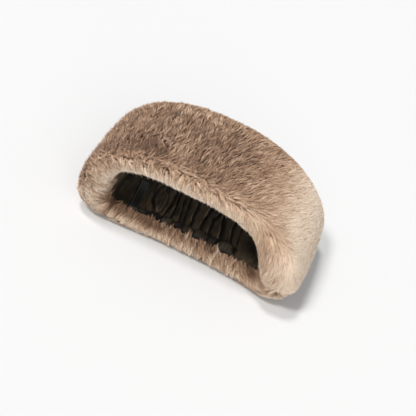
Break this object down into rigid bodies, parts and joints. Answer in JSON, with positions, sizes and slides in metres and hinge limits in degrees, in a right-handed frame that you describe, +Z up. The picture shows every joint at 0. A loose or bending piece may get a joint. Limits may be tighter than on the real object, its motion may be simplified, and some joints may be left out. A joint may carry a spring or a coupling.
{
  "type": "faux fur headband",
  "caption": "Wide ring-shaped headband of long-pile faux fur with a satin lining and an elastic gathered back, worn round the head over the ears for warmth.",
  "frame": {"origin": "middle of the underside of the object's box, on the surface it lies on", "axes": "+Z up, +X along the width to the viewer's right, +Y through the hollow from the near rim to the far rim"},
  "size_m": [0.2642, 0.1372, 0.1095],
  "materials": {
    "front_pile": "taupe long-pile acrylic faux fur, soft sheen",
    "back_pile": "taupe long-pile acrylic faux fur, pressed flat underneath",
    "satin_lining": "very dark brown polyester satin, ruched over elastic in the middle of the back",
    "label_ribbon": "black woven ribbon, bare"
  },
  "bodies": {
    "root": {"front_fur": "front_pile", "back_fur": "back_pile", "front_lining": "satin_lining", "back_lining": "satin_lining", "sewn_label": "label_ribbon"}
  },
  "joints": []
}
